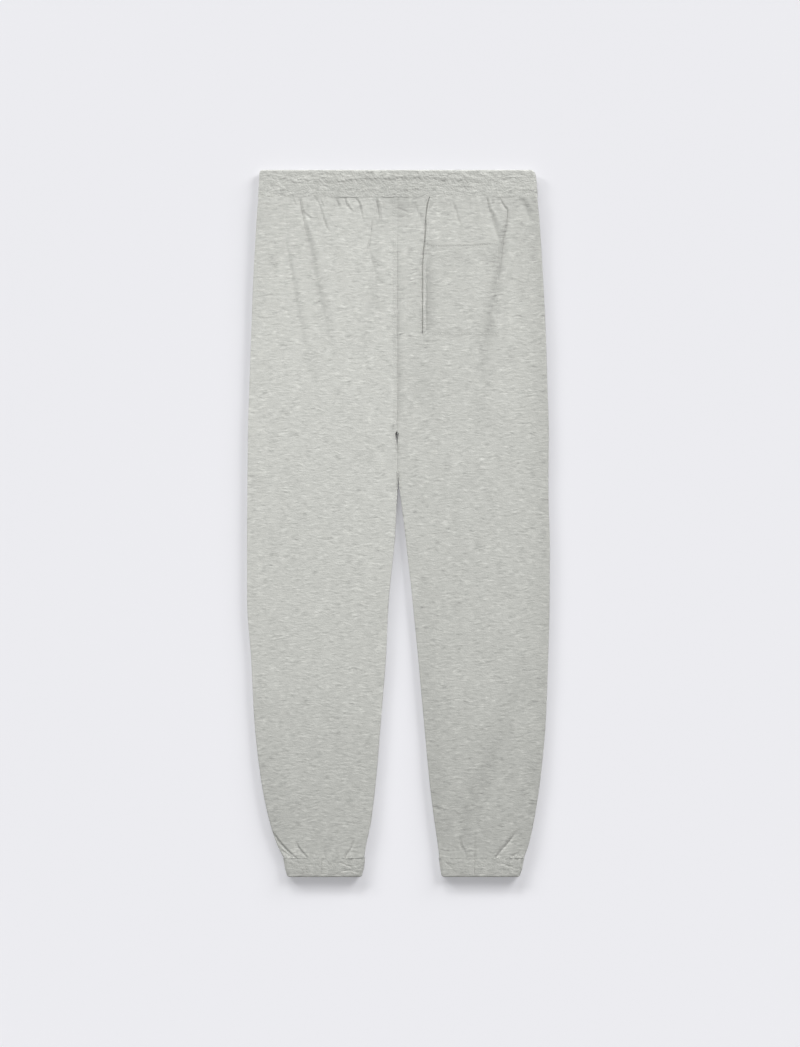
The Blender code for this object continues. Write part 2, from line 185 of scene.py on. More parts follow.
# Outer edges of the two legs, the middle and width of what parts the halves, and how
# far the edges beside that gap are turned down, from none at the seam to fully.
OUTLINE = (
    "drop left right middle gap turned",
    (39, -201.7, 200, -1.2, 0, 0),
    (65, -204.1, 202.6, -1.2, 0, 0),
    (101, -206.3, 205.4, -1.2, 0, 0),
    (158.7, -209.5, 208.8, -1.2, 0, 0),
    (230.8, -212.2, 212.4, -1.2, 0, 0),
    (317.4, -215.2, 215.1, -1.2, 0, 0),
    (376.6, -217, 216.9, -2, 0, 0),
    (378.4, -217, 216.9, -2.1, 5.4, 0.2),
    (386, -217.1, 216.9, -2, 3.6, 0.25),
    (395.5, -217.2, 216.8, -1.8, 0.6, 0.12),
    (402, -217.3, 216.8, -1.6, 0.04, 0.03),
    (430, -217.6, 216.5, -1, 0.02, 0.02),
    (441, -217.8, 216.4, -0.5, 0.3, 0.10),
    (457, -217.9, 216.4, -0.1, 1.5, 0.35),
    (463, -218, 216.5, 0.2, 3, 0.5),
    (484, -218.1, 216.7, 1, 7, 0.8),
    (505, -218.3, 217.5, 1.9, 10.8, 1),
    (534, -218.4, 218.4, 2.7, 15.9, 1),
    (620, -218.4, 218.1, 3.1, 34, 1),
    (707, -212.4, 216, 5.2, 46.9, 1),
    (793, -208, 212.7, 5.7, 61.6, 1),
    (880, -198.2, 204.6, 6.1, 76.9, 1),
    (938, -186.4, 195.6, 6.2, 90.8, 1),
    (974, -174.6, 187.6, 5.1, 103.4, 1),
    (993, -165, 180.6, 4.8, 108.8, 1),
)


def read_table(table, keys, at):
    """Values of a table's columns where the first has the values at, on curves that
    never overshoot.  The table's first row names its columns, and keys one column, or
    several, which then come as a list."""
    names = table[0].split()
    data = np.array(table[1:], float)
    xs = data[:, 0]
    i = np.clip(np.searchsorted(xs, at, side="right") - 1, 0, len(xs) - 2)
    span = xs[i + 1] - xs[i]
    t = np.clip((at - xs[i]) / span, 0.0, 1.0)
    found = []
    for key in keys.split():
        ys = data[:, names.index(key)]
        step = np.diff(ys) / np.diff(xs)
        before, after = step[:-1], step[1:]
        same_way = before * after > 0.0
        total = np.where(same_way, before + after, 1.0)
        inner = np.where(same_way, 2.0 * before * after / total, 0.0)
        slope = np.concatenate(([step[0]], inner, [step[-1]]))
        value = (1.0 + 2.0 * t) * (1.0 - t) ** 2 * ys[i]
        value += t * (1.0 - t) ** 2 * span * slope[i]
        value += t * t * (3.0 - 2.0 * t) * ys[i + 1]
        value += t * t * (t - 1.0) * span * slope[i + 1]
        found.append(value)
    return found if len(found) > 1 else found[0]


outline = partial(read_table, OUTLINE)


def ease(zero, one, value):
    """Smooth step from 0 at the first of two values to 1 at the second, up or down."""
    t = np.clip((value - zero) / (one - zero), 0.0, 1.0)
    return t * t * (3.0 - 2.0 * t)


def panel_edges(half, drop, opened=1.0):
    """Middle edge and outer edge of one half of the garment."""
    middle, gap, outer = outline("middle gap " + half, drop)
    return middle + 0.5 * SIDE[half] * gap * opened, outer


def stations(*stretches):
    """Places along a panel, from (start, end, steps) for each stretch."""
    runs = [np.linspace(a, b, n + 1)[:-1] for a, b, n in stretches]
    return np.concatenate(runs + [[stretches[-1][1]]])


def panel_places(half, columns, drops, roll, turn, inset, opened=1.0):
    """Arrays by row and column, columns towards +X: x, drop, how far in from the middle
    edge each point lies, the panel's width, how far the point is turned over an edge,
    and whether that is the middle edge.  turn is the row of angles over an edge, up to
    but not at a right angle, and inset how far in the widest part of the panel lies."""
    angle = np.concatenate((turn, np.full(len(columns), 0.5 * math.pi), turn[::-1]))
    ones = np.ones((len(drops), len(angle)))
    middle, outer = panel_edges(half, drops, opened)
    width = np.abs(outer - middle)[:, None]
    turned = outline("turned", drops)[:, None]
    near = inset * turned
    strip = roll * (1.0 - np.cos(turn))
    parted = np.where(turn < 0.0, turned, 1.0)
    apart = KEPT_APART * np.minimum(np.arange(len(turn)), 2.0) * (1.0 - parted * (turn < 0.0))
    reach = np.concatenate((near + np.maximum(strip * parted, apart),
                            near + roll + (width - near - inset - 2.0 * roll) * columns,
                            width - inset - strip[::-1]), axis=1)
    on_middle = np.broadcast_to(np.arange(len(angle)) < len(turn), ones.shape)
    made = (middle[:, None] + SIDE[half] * reach, drops[:, None] * ones, reach, width * ones,
            angle * ones, on_middle)
    return [field[:, ::-1] for field in made] if half == "left" else made


def run_over(step):
    """Distance run at each point, from the steps between the points."""
    return np.concatenate((np.zeros_like(step[..., :1]), np.cumsum(step, axis=-1)), axis=-1)


def over_edges(x, z, angle):
    """Distance over the cloth across it: x on the flat, and the way round its edges."""
    step = np.diff(x, axis=1)
    edge = np.minimum(angle[:, 1:], angle[:, :-1]) < 0.499 * math.pi
    along = run_over(np.where(edge, np.hypot(step, np.diff(z, axis=1)), step))
    middle = x.shape[1] // 2
    return along + (x - along)[:, middle:middle + 1]


def on_cloth(x, drop, z):
    """Points in space at x, drop and height."""
    return np.stack((x, 0.5 * LENGTH - drop, z), axis=-1)


def cloth_sheet(name, finish, x, drop, z, along, thickness, closed=False, shade_painted=None,
                down=None):
    """A grid of cloth with its points at x, drop and z, rows up the garment and columns
    towards +X.  along is the distance over the cloth across it, for the weave, and down
    the distance down it: the drop, unless the cloth is folded over.  shade_painted is how
    much painted shade darkens it at each point.  The thickness lies behind the faces:
    inside a panel, whose faces look out, and outside a closed band, whose faces look in."""
    rows, columns = x.shape
    points = on_cloth(x, drop, z).reshape(-1, 3) * MM
    weave_at = np.stack((along, -(drop if down is None else down)), axis=-1).reshape(-1, 2) * MM
    bm = bmesh.new()
    bmesh.ops.create_grid(bm, x_segments=columns - 1, y_segments=rows - 1, size=0.5)
    weave = bm.loops.layers.uv.new("weave")
    for vert in bm.verts:
        row = round((vert.co.y + 0.5) * (rows - 1))
        vert.index = row * columns + round((vert.co.x + 0.5) * (columns - 1))
    for face in bm.faces:
        for loop in face.loops:
            loop[weave].uv = weave_at[loop.vert.index]
    # painted shade: a vertex layer of how much the colour is darkened, in creases and at edges
    if shade_painted is not None:
        shade_layer = bm.verts.layers.float.new("shade_painted")
        flat_shade_painted = shade_painted.ravel()
        for vert in bm.verts:
            vert[shade_layer] = float(flat_shade_painted[vert.index])
    for vert in bm.verts:
        vert.co = points[vert.index]
    if closed:
        bmesh.ops.remove_doubles(bm, verts=bm.verts, dist=1e-7)
    for edge in bm.edges:
        edge.smooth = not edge.is_boundary
    piece = as_object(name, bm, finish)
    piece.data.shade_smooth()
    wall = piece.modifiers.new("cloth_thickness", "SOLIDIFY")
    wall.thickness = thickness * MM
    wall.offset = -1.0
    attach(piece, "root")
    return piece


def heather_fleece(name, colour, streaks, knit, crimp=0.0, deeper=0.0, with_painted_shade=False):
    """Heathered loopback fleece: grey and white fibres spun together into streaks
    along the courses, fine knit ribs, and a short soft nap.  crimp is the fine relief
    of cloth drawn up by elastic, and deeper how much painted shade darkens the
    cloth towards the hem.  With with_painted_shade, painted shade darkens the colour by
    the vertex layer shade_painted, along creases, seams and edges."""
    finish, tree, shader = new_finish(name)
    weave = add_node(tree, "UVMap", uv_map="weave").outputs["UV"]
    on_top = partial(math_node, tree, "MULTIPLY_ADD")      # what, its share, the rest

    def noise(vector, across, down, shift, detail=1.0, rough=0.5):
        """Noise from -0.5 to 0.5 with so many cells to a metre across and down."""
        place = add_node(tree, "Mapping", {
            "Vector": vector, "Scale": (across, down, 1.0),
            "Location": (shift, 1.7 * shift, 0.0)}).outputs["Vector"]
        made = add_node(tree, "TexNoise", {
            "Vector": place, "Scale": 1.0, "Detail": detail, "Roughness": rough},
            noise_dimensions="2D")
        return math_node(tree, "SUBTRACT", made.outputs["Fac"], 0.5)

    def ribs(way, scale, bend):
        """Fine parallel ribs of the knit."""
        return add_node(tree, "TexWave", {"Vector": laid, "Scale": scale, "Distortion": bend},
                        bands_direction=way).outputs["Fac"]

    # the courses wander a little, as the cloth was never laid quite straight
    wander = math_node(tree, "MULTIPLY", noise(weave, 34.0, 52.0, 7.7), 0.007)
    wander = add_node(tree, "CombineXYZ", {"Y": wander}).outputs["Vector"]
    laid = add_node(tree, "VectorMath", {0: weave, 1: wander}, operation="ADD").outputs["Vector"]

    long_streaks = noise(laid, 64.0, 320.0, 3.1)
    short_streaks = noise(laid, 124.0, 460.0, 9.4, 2.0, 0.6)
    flecks = noise(laid, 430.0, 900.0, 5.3)
    strength = on_top(noise(weave, 60.0, 85.0, 2.2, 2.0, 0.6), 3.2, 0.85)
    strength = math_node(tree, "MAXIMUM", strength, 0.15)
    tone = math_node(tree, "MULTIPLY", long_streaks, 0.62 * streaks)
    tone = on_top(short_streaks, 0.72 * streaks, tone)
    tone = math_node(tree, "MULTIPLY", tone, strength)
    tone = on_top(flecks, 0.20 * streaks, tone)
    clouds = noise(weave, 30.0, 24.0, 1.9, 2.0)
    tone = on_top(clouds, 0.08 * streaks, tone)
    tone = math_node(tree, "ADD", tone, 0.5)
    # painted shade: the colour darkens towards the hem, for light that falls off down the legs
    if deeper:
        down = add_node(tree, "SeparateXYZ", {"Vector": weave}).outputs["Y"]
        fade = add_node(tree, "MapRange", {"Value": down, "From Min": -0.70, "From Max": -0.97},
                        interpolation_type="SMOOTHSTEP").outputs["Result"]
        tone = on_top(fade, -deeper, tone)
    # painted shade: the colour darkens by the vertex layer, in creases, seams and along edges
    if with_painted_shade:
        shade_painted = add_node(tree, "Attribute", attribute_name="shade_painted").outputs["Fac"]
        tone = on_top(shade_painted, -1.6, tone)
    ramp = add_node(tree, "ValToRGB", {"Fac": tone})
    for end, share in zip(ramp.color_ramp.elements, (0.60, 1.40)):
        end.color = (*[c * share for c in colour], 1.0)

    relief = math_node(tree, "MULTIPLY", ribs("X", 360.0, 1.6), 0.30)
    relief = on_top(ribs("Y", 450.0, 2.0), 0.20, relief)
    relief = on_top(flecks, 1.0, relief)
    relief = on_top(short_streaks, 1.2, relief)
    if crimp:
        relief = on_top(noise(weave, 420.0, 380.0, 6.1, 2.0, 0.6), crimp, relief)
    bump = add_node(tree, "Bump", {"Strength": knit, "Distance": 0.0005, "Height": relief})
    set_inputs(tree, shader, {
        "Base Color": ramp.outputs["Color"], "Normal": bump.outputs["Normal"],
        "Roughness": 0.95, "Specular IOR Level": 0.08,
        "Sheen Weight": 0.06, "Sheen Roughness": 0.5})
    return finish


front_finish = heather_fleece("front_fleece", FLEECE_COLOUR, 0.85, 0.4)
front_drops = stations((HEM_DROP - SHORT, 900, 12), (900, 500, 40),
                       (500, 370, 40), (370, WAIST_DROP + SHORT, 30))
FRONT_TURN = np.linspace(0.0, 0.5 * math.pi, 9)[:-1]
front_opened = ease(388.0, 452.0, front_drops)  # the halves part lower than the back
for half in ("left", "right"):
    x, drop, reach, width, angle, on_middle = panel_places(
        half, stations((0, 1, 24)), front_drops, FRONT_ROLL, FRONT_TURN, SEAM_UNDER,
        front_opened)
    turn = np.where(on_middle, outline("turned", drop), 1.0)
    z = (SEAM_HEIGHT - SEAM) * (1.0 - np.sin(angle)) * turn
    # the outer face is the one on the table, so the columns run the other way
    fields = (field[:, ::-1] for field in (x, drop, z, over_edges(x, z, angle)))
    front = cloth_sheet("front_panel_" + half, front_finish, *fields, CLOTH)
    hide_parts("front_" + half)

# ------------------------------
# The back panels.  Two leg panels of the same fleece on top, joined at the back middle
# seam, whose allowance is stitched down to the left.  They are gathered into the
# waistband and the cuffs, and the long creases start at those gathers.
LIE_HEIGHT = 6.8
LOWEST_TOP = 4.0
EDGE_LIFT, EDGE_REACH = 0.9, 24.0
WAIST_LIFT, WAIST_REACH = 2.2, 62.0
HEM_LIFT, HEM_REACH = 1.2, 95.0
BACK_ROLL = 1.9
WIDEST_UNDER = 1.2  # how far the widest part lies below the top of an edge
SHADED_RIGHT_COLOUR = (0.4400, 0.4438, 0.4190)  # painted shade: this leg is a shade darker, for light that falls from the left

# Where each half is gathered into the waistband and into its cuff.
WAIST_SPAN = {"left": (-200, -4), "right": (2, 198)}
HEM_SPAN = {"left": (-164, -52), "right": (61, 178)}
# Gathers below the waistband, short and long: what they are drawn from, how many, how far
# they lean, how high, how far down they reach, and what lies below the cloth's level.
GATHERS = ((3, 27, 0.12, 0.8, 11, 0.4), (4, 13, 0.16, 0.5, 42, 0))
# Slow swells of the laid cloth: what they are drawn from, their height, the longest, the
# shortest, and how many there are.
SWELLS = ((31, 0.18, 120, 45, 12), (32, 0.06, 32, 14, 16))
# What is sewn in behind the waistband holds the centre back down: how far down, and at
# which places across it sets in and lets go.
HELD_DOWN = (
    (0.6, (-25, -20, 12, 16)), (1.1, (-130, -60, 60, 135)), (0.4, (-115, -35, 25, 60)),
)

# Each crease is a line down the cloth: drops, and where it is there, how deep its trough
# is and how wide.  The number before it is the height of the bank beside the trough, on
# the right, or on the left where it is below zero.  In widths of the trough: how far off
# the bank stands, how wide it is, how round the trough's bottom is, and how much wider
# its easy side gets.
BANK_OFF, BANK_WIDE, ROUNDED, EASIER = 2.2, 1.5, 0.35, 1.5
LEFT_CREASES = (
    (0.8, ((38.7, -141.2, 0.5, 1), (47.6, -140.5, 1.7, 1), (57.7, -139.1, 2.3, 1.2),
        (75, -135.8, 2.6, 1.8), (88, -133, 2.8, 2.8), (103, -129, 3, 3.8), (122, -124.5, 3.1, 4.2),
        (151, -120, 3, 4.6), (180, -114.6, 2.5, 5.2), (209, -108.8, 1.8, 6), (238, -101.6, 1, 7),
        (266, -97, 0, 8))),
    (0.5, ((58.4, -137.6, 0, 0.8), (62.8, -134.7, 1.2, 0.9), (67.1, -129, 1.1, 0.9),
        (70.7, -125.4, 0, 0.9))),
    (0.4, ((41.1, -152.1, 1, 0.8), (47.6, -149.2, 1.1, 0.8), (53.4, -147, 0, 0.8))),
    (0.4, ((41.3, -118.9, 1.7, 0.9), (50.5, -113.8, 1.4, 0.9), (59.2, -110.5, 1.8, 1),
        (66.4, -108.8, 1.8, 1), (75, -105.9, 2.1, 1), (83.7, -103, 1.6, 1.2),
        (89.4, -100.8, 0, 1.4))),
    (0.6, ((41.8, -112.4, 1.7, 0.9), (49.8, -109.5, 1.4, 0.9), (56.3, -107.3, 0, 0.9))),
    (0.5, ((39.7, -90.7, 1.7, 1), (50.5, -86.4, 1.4, 1.4), (60.6, -85, 0, 2.5))),
    (1.2, ((39.2, -77, 1.9, 0.9), (48.3, -74.2, 2.1, 0.9), (55.5, -69.8, 1.7, 0.9),
        (60.6, -66.2, 0, 1))),
    (0.8, ((39.2, -61.2, 1.9, 0.9), (48.3, -56.1, 1.9, 0.9), (57.7, -54, 1.6, 1),
        (67.8, -51.8, 1.2, 1.1), (76.5, -50.8, 0, 1.4))),
    (0.7, ((38.2, -32.3, 1.8, 1.2), (46.2, -30.2, 2.6, 1.2), (54.8, -28.7, 2.6, 1.3),
        (63.5, -27.6, 2.4, 1.6), (70.7, -27.1, 1.7, 1.8), (80.8, -26.5, 0.7, 2.5),
        (98.1, -25.8, 0, 3))),
    (0.3, ((39, -25.8, 1.4, 0.8), (44.7, -23.9, 1, 0.8), (49.1, -23.4, 0, 0.8))),
    (-0.8, ((70.7, -38.4, 0, 0.8), (77.9, -38.5, 1.3, 0.8), (92.3, -38.8, 1.6, 0.9),
        (103.9, -40.5, 1.6, 1.2), (114, -42, 1.6, 2), (127, -39.5, 1.8, 3.2),
        (140, -35.8, 2.1, 4.2), (168.8, -33.4, 2.2, 5), (202, -36.2, 2, 5.5), (228, -39.5, 1.6, 6),
        (258, -44.5, 1, 7), (290, -51, 0, 8))),
    (0.4, ((60.6, -162.2, 0, 0.8), (72.1, -162.2, 0.6, 0.8), (105.3, -161.7, 0.9, 1.1),
        (129.8, -157.3, 1.4, 2), (163, -151.8, 1.8, 3.2), (189, -147.6, 1.9, 4),
        (228, -140, 1.7, 5), (262, -134, 1.3, 6), (303, -124, 0.7, 7), (345, -117, 0, 8))),
    (0.3, ((952.9, -183.1, 0, 1), (960.1, -178, 1.6, 1), (968.1, -172.3, 2.2, 1.1),
        (977.4, -164.3, 2.3, 1.1), (985.4, -156.4, 2.1, 1.1), (992.6, -147.7, 1.5, 1.1))),
    (0.4, ((974.5, -174.4, 0, 0.9), (981, -167.9, 1.3, 0.9), (987.5, -159.3, 1.3, 0.9),
        (991.9, -153.5, 0.9, 0.9))),
    (0.6, ((969.5, -146.7, 0, 1), (976.7, -144.1, 1.5, 1), (983.2, -139.1, 1.5, 1),
        (991.1, -131.9, 1.1, 1))),
    (0.3, ((963.7, -63, 0, 1.2), (973.8, -66.2, 1.5, 1.2), (981, -69.8, 1.7, 1.2),
        (991.1, -77, 1.5, 1.2))),
    (0.3, ((975.3, -108.8, 0, 1.5), (983.9, -108.1, 0.8, 1.8), (992.6, -105.9, 0.6, 1.8))),
)
RIGHT_CREASES = (
    (0.5, ((46, 25.4, 0, 1.5), (52, 26.2, 1, 1.5), (60, 27.2, 1.1, 1.5), (68, 28, 0, 1.6))),
    (0.4, ((60, 31.4, 0, 1), (67, 32.2, 1, 1), (79, 32.6, 0, 1.2))),
    (0.3, ((45.9, 52.8, 0.8, 0.8), (53.4, 47.8, 1.1, 0.8), (58.4, 45.6, 0, 0.8))),
    (0.6, ((45.4, 78.8, 0, 0.8), (49.1, 79.9, 1.4, 0.8), (53.4, 81.7, 1.7, 0.9),
        (62, 83.8, 1.5, 1), (72.1, 86.7, 1.3, 1.1), (82.2, 90.3, 0, 1.3))),
    (0.3, ((41.8, 101.9, 0.9, 1.2), (54.8, 103.3, 0.9, 1.3), (64.9, 104.7, 0, 1.5))),
    (0.9, ((38.7, 127.8, 1, 1.1), (47.6, 130, 1.9, 1.1), (56.3, 131.4, 2.1, 1.2),
        (63.5, 134.3, 2.2, 2.6), (77.9, 138, 2.8, 3.4), (90.9, 141.5, 2.4, 4),
        (102, 144.5, 1.2, 4.2), (116, 148, 0, 4.2))),
    (0.5, ((41.8, 146.6, 1, 0.8), (51.9, 152.3, 1.6, 0.9), (57.7, 156.7, 1.8, 1),
        (66.4, 157.5, 2.3, 1.3), (80.8, 156.2, 2.8, 1.9), (97, 153, 3.3, 2.6),
        (118.3, 150.2, 3.6, 3), (140, 147, 3.5, 3.6), (163, 143.2, 3.2, 4.8), (187, 140, 3.1, 6),
        (231, 131.5, 2.8, 7), (262, 126, 2.2, 7.5), (296, 121.5, 1.6, 8), (340, 118, 0.8, 9),
        (375, 117, 0, 10))),
    (0.4, ((39, 178.3, 0.8, 2.2), (50.5, 181.2, 1.6, 3.2), (57.7, 184.8, 1.8, 3.6),
        (66.4, 187.7, 1.4, 4), (77.9, 189.1, 0, 4.5))),
    (-0.9, ((685.3, 187, 0, 12), (750.2, 175.4, 0.9, 12), (815.1, 153.8, 1.1, 13),
        (887.3, 129.3, 1, 14), (946.4, 107.6, 0, 14))),
    (-0.6, ((822.3, 191.3, 0, 8), (908.9, 188.4, 0.8, 8), (970.9, 184.1, 0, 8))),
    (0.3, ((949.3, 173.3, 0, 3), (959.4, 166.8, 1.3, 2), (966.6, 161, 2, 1.3),
        (976, 153.1, 2.3, 1.2), (985.4, 145.1, 1.9, 1.2), (991.9, 140.8, 1.4, 1.2))),
    (0.4, ((981, 178.3, 0, 0.9), (986.8, 169.7, 1.1, 0.9), (992.6, 159.6, 0.9, 0.9))),
    (0.5, ((959.4, 88.6, 0, 1.2), (973.8, 90.3, 1.4, 1.2), (982.5, 95.4, 1.3, 1.2),
        (991.1, 97.5, 0.9, 1.2))),
    (0.5, ((956.5, 110.5, 0, 1), (969.5, 110.5, 1, 1), (992.6, 110.1, 1.3, 1))),
)
CREASES = {"left": LEFT_CREASES, "right": RIGHT_CREASES}

# Painted shade in bands: along creases, folds and the middle seam, below the waistband at
# the centre back, and along the outer edges: drops, and the middle of each band there, how
# much darker it is painted, and how far it reaches to the left and to the right.
PAINTED_SHADE_BANDS = (
    ((75, -137, 0, 6, 6), (101, -130, 0.02, 6, 6), (122, -125.5, 0.05, 7, 6),
     (151, -120.8, 0.085, 7.5, 6), (180, -115, 0.075, 9, 7), (209, -109, 0.06, 10, 8),
     (238, -102, 0.04, 11, 9), (275, -96, 0, 12, 10)),
    ((105, -162, 0, 4, 4), (130, -158, 0.02, 5, 5), (163, -152, 0.03, 5, 5),
     (189, -148, 0.035, 6, 6), (228, -140, 0.035, 7, 7), (262, -134, 0.035, 8, 8),
     (303, -124, 0.03, 9, 9), (345, -117, 0, 9, 9)),
    ((39, -30, 0.02, 7, 9), (65, -29, 0.045, 8, 10), (87, -28.5, 0.055, 8, 10),
     (103, -31, 0.04, 8, 9), (140, -33, 0.035, 7, 8), (166, -33, 0.045, 8, 8),
     (200, -36, 0.045, 8, 9), (224, -39, 0.045, 9, 9), (258, -46, 0.035, 10, 10),
     (290, -52, 0, 10, 10)),
    ((39, -1, 0.075, 19, 28), (60, -1, 0.065, 18, 25), (72, -3, 0.03, 16, 20),
     (95, -3, 0, 16, 18)),
    ((41, 5, 0, 9, 9), (47, 5, 0.035, 9, 9), (61, 6, 0.035, 9, 9), (66, 6, 0, 9, 9)),
    ((105, -3, 0, 4, 4), (135, -2.6, 0.06, 4, 4), (188, -2.4, 0.075, 4.5, 4.5),
     (274, -0.8, 0.08, 5, 5), (330, -0.4, 0.075, 4.5, 5), (374, -1.2, 0.055, 4, 4),
     (430, -1, 0.045, 3, 3), (462, 0, 0.05, 3, 3), (490, 1, 0, 3, 3)),
    ((60, 38.5, 0, 4, 2), (94, 37.4, 0.03, 4.5, 1.8), (144, 33.4, 0.05, 4.5, 1.8),
     (226, 33.2, 0.06, 4.5, 1.8), (240, 34, 0, 5, 2)),
    ((85, 46, 0, 6, 8), (101, 46, 0.025, 6, 8), (144, 45.5, 0.075, 6, 8), (170, 44.6, 0.1, 5, 8.5),
     (188, 43.8, 0.11, 4.5, 9), (224, 43.6, 0.115, 4.5, 9.5), (238, 43, 0.065, 5, 10),
     (250, 38, 0.045, 9, 11), (270, 35, 0.035, 14, 13), (300, 37, 0.04, 16, 15),
     (350, 46, 0.025, 15, 15), (390, 52, 0, 14, 14)),
    ((62, 157, 0, 4, 3), (82, 155, 0.06, 6, 4), (95, 152.5, 0.08, 14, 3.5),
     (110, 150.8, 0.1, 14, 3.5), (130, 148.7, 0.1, 10, 3.5), (150, 145.5, 0.09, 9, 4.5),
     (187, 140, 0.1, 11, 7), (231, 131.5, 0.1, 11, 9), (262, 126, 0.085, 11, 10),
     (296, 121.5, 0.06, 11, 10), (345, 118, 0.035, 11, 11), (390, 117, 0, 12, 12)),
    ((39, 196, 0.07, 22, 20), (66, 198, 0.08, 20, 20), (87, 200, 0.08, 19, 20),
     (120, 204, 0.07, 19, 20), (230, 211, 0.075, 20, 20), (332, 214, 0.075, 20, 20),
     (480, 215, 0.06, 20, 20), (620, 216, 0.05, 18, 20), (760, 212, 0.045, 16, 20),
     (880, 203, 0.045, 15, 20), (960, 189, 0.035, 14, 20), (992, 181, 0, 14, 20)),
    ((560, 34, 0, 20, 12), (635, 38, 0.035, 20, 14), (765, 46, 0.045, 20, 14),
     (887, 57, 0.045, 20, 14), (940, 62, 0.03, 20, 12), (980, 66, 0, 20, 12)),
    ((690, 195, 0, 12, 12), (736, 182, 0.03, 13, 13), (801, 158, 0.035, 13, 13),
     (851, 133, 0.04, 13, 13), (916, 105, 0.045, 11, 11), (950, 96, 0.045, 8, 8),
     (980, 92, 0.035, 7, 7), (992.4, 91, 0, 7, 7)),
    ((39, -203, 0.03, 20, 22), (87, -205, 0.04, 20, 22), (160, -208, 0.025, 20, 20),
     (260, -212, 0.01, 20, 18), (330, -214, 0, 20, 18)),
    ((700, -206, 0, 20, 16), (765, -200, 0.02, 20, 16), (909, -186, 0.035, 20, 18),
     (960, -170, 0.035, 20, 16), (992.4, -158, 0, 20, 14)),
)

# Where the pocket's near edge is folded into a sharp crease that runs up to the
# waistband: its line down the panel, how deep the crevice is, how high its right lip
# stands, and how deep the soft hollow beyond the lip is.
POCKET_FOLD = (
    "drop x crevice lip hollow",
    (30, 48, 1.6, 0.4, 0),
    (39, 45, 2, 0.5, 0),
    (48, 42.6, 2, 0.6, 0),
    (65, 39.9, 2.3, 0.8, 0),
    (94, 38.9, 2.3, 0.9, 0.1),
    (115, 36.9, 2.1, 0.6, 0.8),
    (144, 35.1, 2, 0.4, 1.7),
    (170, 35, 2, 0.3, 2.6),
    (200, 34.9, 2, 0.3, 3),
    (226, 35, 2.1, 0.3, 2.7),
    (235, 35.2, 1.6, 0.3, 1.5),
    (240, 35.5, 0.3, 0.2, 0.3),
    (252, 36, 0, 0, 0),
)

# Where the painted shade line along the waistband's seam sets in and where it ends.
SEAM_SHADE_LINE = (-125.0, -75.0, 30.0, 60.0)


def bell(value, reach):
    """1 where the value is 0, and next to nothing at twice the reach."""
    return np.exp(-((value / reach) ** 2))


def plateau(places, value):
    """1 between the two middle ones of four places, and 0 outside all of them."""
    start, full, end, gone = places
    return ease(start, full, value) * ease(gone, end, value)


def painted_crease_shade(x, drop):
    """How much painted shade darkens the cloth at the points."""
    # painted shade: a little all over towards the waistband, and in a line along its seam's middle
    total = 0.026 * np.exp(-(drop - WAIST_DROP) / 16.0)
    total += 0.026 * bell(drop - 80.0, 105.0)
    total += 0.055 * plateau(SEAM_SHADE_LINE, x) * bell(drop - WAIST_DROP - 0.2, 1.6)
    for band in PAINTED_SHADE_BANDS:
        path, deeper, *reaches = read_table(
            ("drop x deeper before beyond", *band), "x deeper before beyond", drop)
        beside = bell(x - path, np.where(x < path, *reaches))
        total += deeper * beside * (drop >= band[0][0]) * (drop <= band[-1][0])
    return total


def crease_relief(creases, x, drop, across=False):
    """Height that a set of creases adds at the points.

    A slanting crease is an overlapping fold: steep on the side towards the waist and
    easy on the side towards the hem, and so is one across, where x and drop swap."""
    total = np.zeros_like(x)
    for bank, nodes in creases:
        line = partial(read_table, ("drop x deep wide", *nodes))
        path, deep, wide = line("x deep wide", drop)
        slope = 2.0 * (line("x", drop + 0.5) - path)
        aside = (x - path) / np.hypot(1.0, slope)
        near = np.hypot(aside, ROUNDED * wide) - ROUNDED * wide
        lean = -1.0 if across else slope / np.hypot(1.0, slope)
        easy = np.maximum(-np.copysign(1.0, aside) * lean, 0.0)
        share = deep / max(node[2] for node in nodes)
        off_bank = aside - np.copysign(BANK_OFF * wide, bank)
        total += share * abs(bank) * bell(off_bank, BANK_WIDE * wide)
        total -= deep * np.exp(-near / (wide * (1.0 + EASIER * easy)))
    return total


def pocket_fold(x, drop):
    """The sharp crease beside the pocket."""
    line, crevice, lip, hollow = read_table(POCKET_FOLD, "x crevice lip hollow", drop)
    aside = x - line
    relief = -crevice * bell(aside, 0.8)
    relief += lip * bell(np.maximum(aside - 2.2, 0.0), 1.6) * ease(0.2, 1.4, aside)
    relief -= 0.7 * np.minimum(hollow, 1.0) * np.exp(-np.abs(aside) / 2.4) * (aside < 0.0)
    beyond = np.clip((20.0 - aside) / 15.0, 0.0, 1.0) ** 1.6
    return relief - hollow * ease(2.0, 5.6, aside) * beyond


def gather_waves(seed, x, count, low, high):
    """Uneven gathers across a seam: count waves from low to high, 0 to 1 high."""
    draw = np.random.default_rng(seed)
    pitch = (high - low) / count
    places = np.linspace(low, high, count) + draw.uniform(-0.32, 0.32, count) * pitch
    sizes = draw.uniform(0.35, 1.0, count)
    total = np.zeros_like(x)
    for place, size in zip(places, sizes):
        total += size * bell(x - place, 0.36 * pitch)
    return total


def soft_waves(seed, x, drop, longest, shortest, count):
    """Slow swells of laid cloth, about -1 to 1."""
    draw = np.random.default_rng(seed)
    total = np.zeros_like(x)
    for _ in range(count):
        size = draw.uniform(shortest, longest)
        way = draw.uniform(0.0, math.pi)
        start = draw.uniform(0.0, 2.0 * math.pi)
        along = x * math.cos(way) + 0.6 * drop * math.sin(way)
        total += np.sin(2.0 * math.pi * along / size + start)
    return total / math.sqrt(count)


